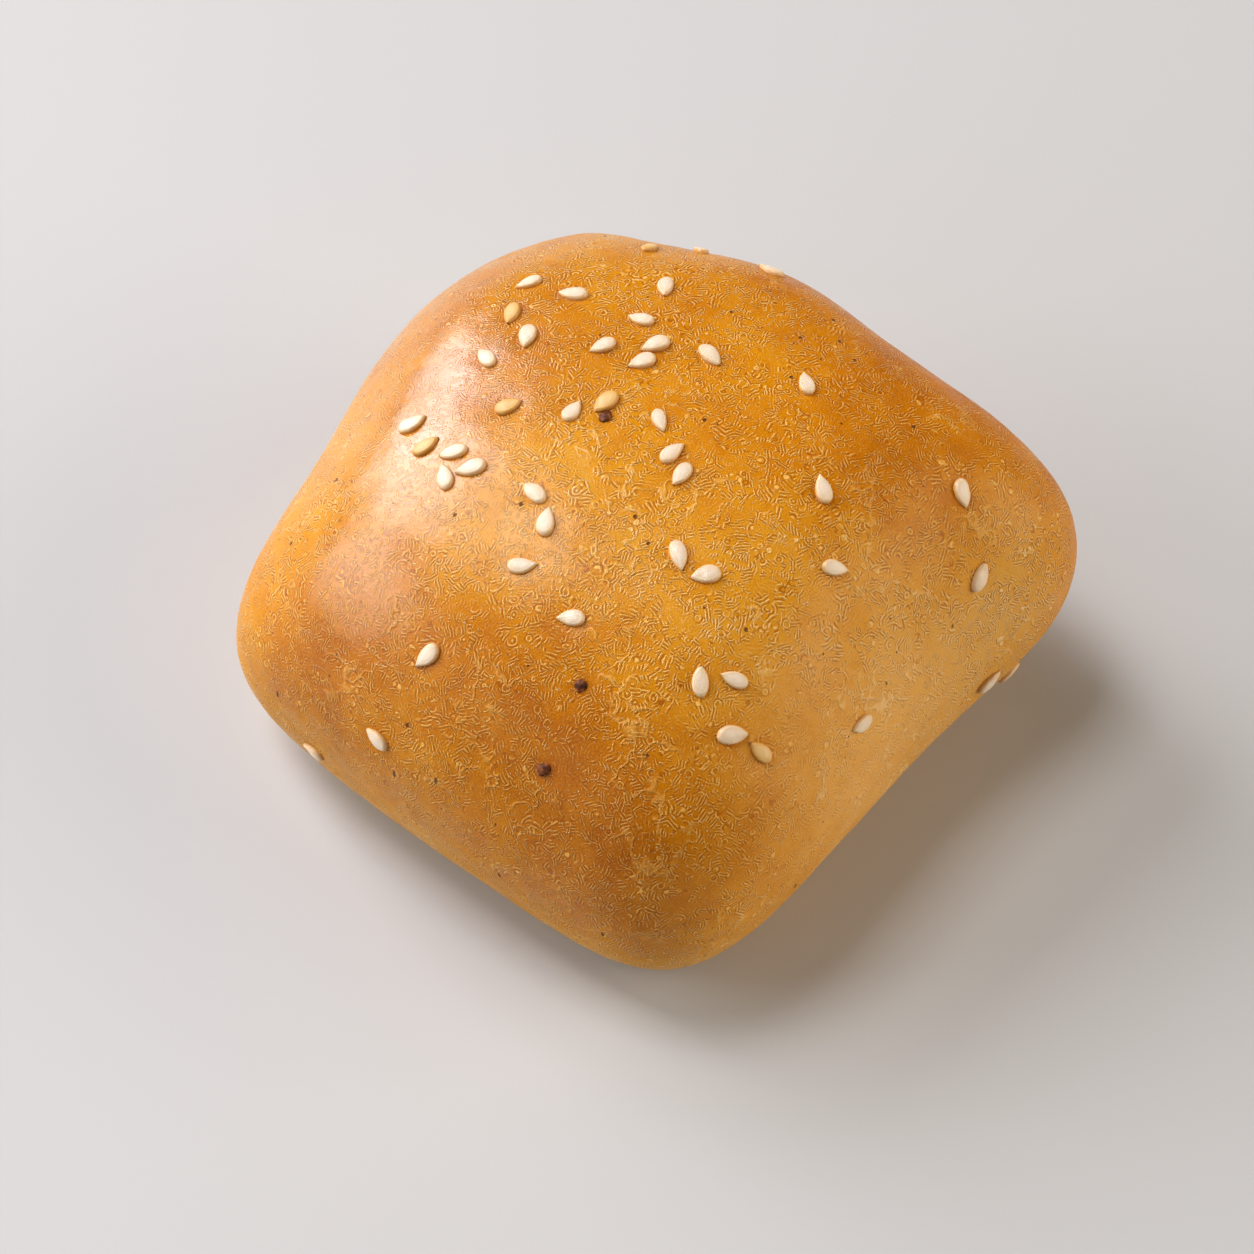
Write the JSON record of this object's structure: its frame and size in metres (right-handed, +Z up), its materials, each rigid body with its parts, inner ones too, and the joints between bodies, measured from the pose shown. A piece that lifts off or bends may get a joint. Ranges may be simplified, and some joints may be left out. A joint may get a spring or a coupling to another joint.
{
  "type": "sesame bread roll",
  "caption": "Small soft square bread roll with a domed golden crust glazed with egg, drawn-in sides, a flat base and sesame seeds scattered over its top.",
  "frame": {"origin": "on the flat base, under the middle of the roll's box", "axes": "+Z up from the base to the crown, -Y towards the front side, +X towards the drawn-in right side"},
  "size_m": [0.0709, 0.0694, 0.0414],
  "materials": {
    "crust": "satin egg-glazed crust",
    "sesame": "satin",
    "toasted_sesame": "satin",
    "toasted_flake": "matte"
  },
  "bodies": {
    "root": {"bread_roll": "crust", "sesame_seed_1": "sesame", "sesame_seed_2": "sesame", "sesame_seed_3": "sesame", "sesame_seed_4": "sesame", "sesame_seed_5": "sesame", "sesame_seed_6": "sesame", "sesame_seed_7": "sesame", "sesame_seed_8": "sesame", "sesame_seed_9": "sesame", "sesame_seed_10": "sesame", "sesame_seed_11": "sesame", "sesame_seed_12": "sesame", "sesame_seed_13": "sesame", "sesame_seed_14": "sesame", "sesame_seed_15": "sesame", "sesame_seed_16": "sesame", "sesame_seed_17": "sesame", "sesame_seed_18": "sesame", "sesame_seed_19": "sesame", "sesame_seed_20": "sesame", "sesame_seed_21": "sesame", "sesame_seed_22": "sesame", "sesame_seed_23": "sesame", "sesame_seed_24": "sesame", "sesame_seed_25": "sesame", "sesame_seed_26": "sesame", "sesame_seed_27": "sesame", "sesame_seed_28": "sesame", "sesame_seed_29": "sesame", "sesame_seed_30": "sesame", "sesame_seed_31": "sesame", "sesame_seed_32": "sesame", "sesame_seed_33": "sesame", "sesame_seed_34": "sesame", "sesame_seed_35": "sesame", "sesame_seed_36": "sesame", "sesame_seed_37": "sesame", "sesame_seed_38": "sesame", "sesame_seed_39": "sesame", "sesame_seed_40": "sesame", "sesame_seed_41": "sesame", "sesame_seed_42": "sesame", "sesame_seed_43": "sesame", "sesame_seed_44": "sesame", "sesame_seed_45": "sesame", "sesame_seed_46": "sesame", "sesame_seed_47": "sesame", "sesame_seed_48": "sesame", "toasted_seed_1": "toasted_sesame", "toasted_seed_2": "toasted_sesame", "toasted_seed_3": "toasted_sesame", "toasted_seed_4": "toasted_sesame", "toasted_seed_5": "toasted_sesame", "toasted_seed_6": "toasted_sesame", "toasted_flake_1": "toasted_flake", "toasted_flake_2": "toasted_flake", "toasted_flake_3": "toasted_flake"}
  },
  "joints": []
}
